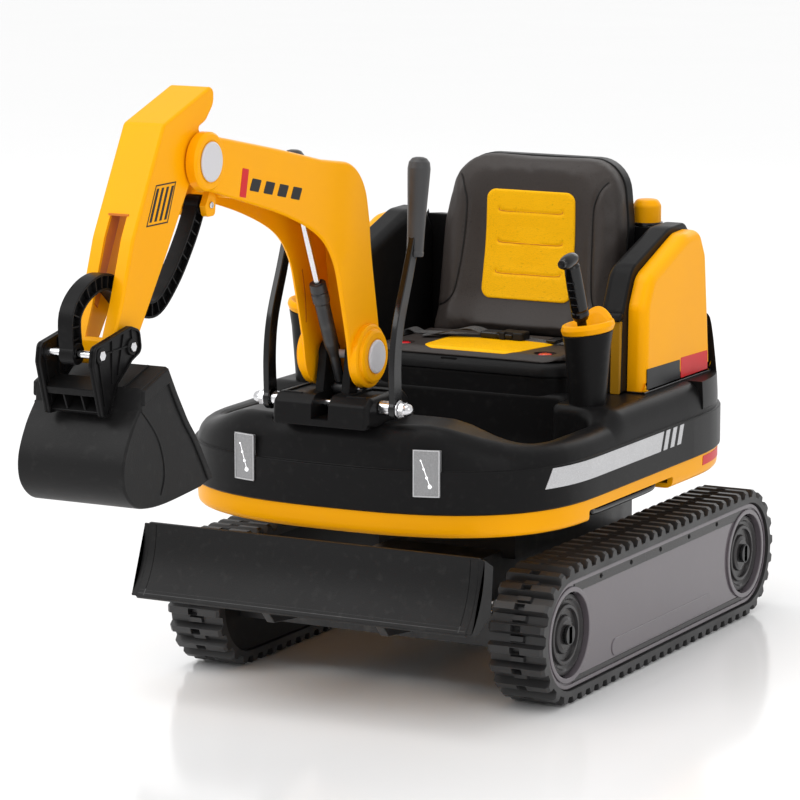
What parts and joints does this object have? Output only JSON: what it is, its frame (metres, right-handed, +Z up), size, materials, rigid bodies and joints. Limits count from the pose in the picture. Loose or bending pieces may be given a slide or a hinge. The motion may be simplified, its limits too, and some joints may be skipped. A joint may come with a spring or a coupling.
{
  "type": "toy excavator",
  "caption": "Ride-on toy excavator: rubber tracks, slewing body with padded seat, levers and joysticks, gooseneck boom, arm and linked bucket, damper strut and front blade.",
  "frame": {"origin": "centre of the footprint of the whole machine's bounding box, on the ground", "axes": "+X to the machine's left, +Y to its rear, away from the bucket, +Z up"},
  "size_m": [0.564, 1.4317, 0.833],
  "materials": {
    "yellow_plastic": "semi-gloss moulded polypropylene, yellow-orange",
    "black_plastic": "satin moulded black plastic",
    "grey_plastic": "glossy dark grey moulded plastic",
    "track_rubber": "matte black moulded track belt",
    "seat_vinyl": "soft black-brown padded vinyl with seams",
    "grip_rubber": "matte dark grey grip sleeve",
    "belt_webbing": "woven black webbing",
    "black_steel": "black powder coat",
    "bright_steel": "polished",
    "button_red": "glossy translucent red"
  },
  "bodies": {
    "root": {"axle_front": "black_steel", "axle_rear": "black_steel", "chassis_frame": "black_steel", "drive_unit_left": "black_plastic", "drive_unit_right": "black_plastic", "track_belt_left": "track_rubber", "track_belt_right": "track_rubber", "track_frame_left": "black_plastic", "track_frame_right": "black_plastic", "track_guard_left": "grey_plastic", "track_guard_right": "grey_plastic", "turntable_lower": "black_plastic"},
    "wheel_front_left": {"wheel_front_left": "grey_plastic"},
    "wheel_rear_left": {"wheel_rear_left": "grey_plastic"},
    "wheel_front_right": {"wheel_front_right": "grey_plastic"},
    "wheel_rear_right": {"wheel_rear_right": "grey_plastic"},
    "blade": {"blade": "black_plastic", "blade_arm_left": "black_steel", "blade_arm_right": "black_steel"},
    "upper": {"armrest_left": "black_plastic", "armrest_right": "black_plastic", "base_tray": "yellow_plastic", "battery": "grey_plastic", "boom_bracket": "black_plastic", "boom_pin": "grey_plastic", "exhaust_stub": "yellow_plastic", "grab_handle_left": "black_plastic", "grab_handle_right": "black_plastic", "hull": "black_plastic", "joystick_collar_left": "yellow_plastic", "joystick_collar_right": "yellow_plastic", "joystick_pod_left": "black_plastic", "joystick_pod_right": "black_plastic", "lap_belt_left": "belt_webbing", "lap_belt_right": "belt_webbing", "lever_axle": "bright_steel", "rear_housing": "black_plastic", "seat_back": "seat_vinyl", "seat_cushion": "seat_vinyl", "seat_pedestal": "black_plastic", "side_cover_left": "yellow_plastic", "side_cover_right": "yellow_plastic", "turntable_upper": "black_plastic"},
    "boom": {"arm_pin": "grey_plastic", "boom": "yellow_plastic"},
    "strut_tube": {"strut_tube": "black_steel"},
    "strut_rod": {"strut_rod": "bright_steel"},
    "arm": {"arm": "yellow_plastic"},
    "bucket": {"bucket": "black_plastic", "bucket_bracket": "black_plastic"},
    "link": {"bucket_link": "black_plastic"},
    "lever_left": {"lever_grip_left": "grip_rubber", "lever_left": "black_steel"},
    "lever_right": {"lever_grip_right": "grip_rubber", "lever_right": "black_steel"},
    "joystick_left": {"joystick_left": "black_plastic"},
    "joystick_right": {"joystick_right": "black_plastic"},
    "button_left": {"push_button_left": "button_red"},
    "button_right": {"push_button_right": "button_red"}
  },
  "joints": [
    {"name": "wheel_rear_left_spin", "type": "hinge", "parent": "root", "child": "wheel_rear_left", "pos_m": [0, 0.62435, 0.0915], "axis": [1, 0, 0], "continuous": true},
    {"name": "wheel_front_left_spin", "type": "hinge", "parent": "root", "child": "wheel_front_left", "pos_m": [0, 0.04935, 0.0915], "axis": [1, 0, 0], "continuous": true},
    {"name": "wheel_rear_right_spin", "type": "hinge", "parent": "root", "child": "wheel_rear_right", "pos_m": [0, 0.62435, 0.0915], "axis": [1, 0, 0], "continuous": true},
    {"name": "wheel_front_right_spin", "type": "hinge", "parent": "root", "child": "wheel_front_right", "pos_m": [0, 0.04935, 0.0915], "axis": [1, 0, 0], "continuous": true},
    {"name": "blade_tilt", "type": "hinge", "parent": "root", "child": "blade", "pos_m": [0, 0.00135, 0.105], "axis": [1, 0, 0], "range_deg": [0, 38]},
    {"name": "slew", "type": "hinge", "parent": "root", "child": "upper", "pos_m": [0, 0.33735, 0.1953], "axis": [0, 0, 1], "continuous": true},
    {"name": "boom_lift", "type": "hinge", "parent": "upper", "child": "boom", "pos_m": [0, -0.06065, 0.456], "axis": [1, 0, 0], "range_deg": [-12, 22]},
    {"name": "strut_tilt", "type": "hinge", "parent": "upper", "child": "strut_tube", "pos_m": [0, -0.06265, 0.412], "axis": [1, 0, 0], "range_deg": [-11, 20]},
    {"name": "strut_slide", "type": "slide", "parent": "strut_tube", "child": "strut_rod", "axis": [0, -0.4018, 0.9157], "range_m": [-0.01, 0.006]},
    {"name": "arm_swing", "type": "hinge", "parent": "boom", "child": "arm", "pos_m": [0, -0.46265, 0.747], "axis": [1, 0, 0], "range_deg": [-25, 4]},
    {"name": "bucket_curl", "type": "hinge", "parent": "arm", "child": "bucket", "pos_m": [0, -0.63565, 0.549], "axis": [1, 0, 0], "range_deg": [-38, 7]},
    {"name": "link_swing", "type": "hinge", "parent": "bucket", "child": "link", "pos_m": [0, -0.70265, 0.548], "axis": [1, 0, 0], "range_deg": [-6, 34]},
    {"name": "lever_left_swing", "type": "hinge", "parent": "upper", "child": "lever_left", "pos_m": [0, -0.08665, 0.395], "axis": [1, 0, 0], "range_deg": [-13, 23]},
    {"name": "lever_right_swing", "type": "hinge", "parent": "upper", "child": "lever_right", "pos_m": [0, -0.08665, 0.395], "axis": [1, 0, 0], "range_deg": [-26, 5]},
    {"name": "joystick_left_tilt", "type": "hinge", "parent": "upper", "child": "joystick_left", "pos_m": [0.2045, 0.22835, 0.468], "axis": [1, 0, 0], "range_deg": [-12, 12], "stiffness_Nm_per_rad": 1.5},
    {"name": "button_left_press", "type": "slide", "parent": "upper", "child": "button_left", "axis": [0, 0, -1], "range_m": [0, 0.003], "stiffness_N_per_m": 400},
    {"name": "joystick_right_tilt", "type": "hinge", "parent": "upper", "child": "joystick_right", "pos_m": [-0.2045, 0.22835, 0.468], "axis": [1, 0, 0], "range_deg": [-12, 12], "stiffness_Nm_per_rad": 1.5},
    {"name": "button_right_press", "type": "slide", "parent": "upper", "child": "button_right", "axis": [0, 0, -1], "range_m": [0, 0.003], "stiffness_N_per_m": 400}
  ],
  "couplings": [
    {"joint": "wheel_front_left_spin", "follows": "wheel_rear_left_spin", "ratio": 1},
    {"joint": "wheel_front_right_spin", "follows": "wheel_rear_right_spin", "ratio": 1},
    {"joint": "strut_tilt", "follows": "boom_lift", "ratio": 0.862},
    {"joint": "strut_slide", "follows": "boom_lift", "m_per_rad": -0.0215},
    {"joint": "lever_left_swing", "follows": "boom_lift", "ratio": 1},
    {"joint": "bucket_curl", "follows": "arm_swing", "ratio": 1.484},
    {"joint": "link_swing", "follows": "arm_swing", "ratio": -1.31},
    {"joint": "lever_right_swing", "follows": "arm_swing", "ratio": 1}
  ]
}
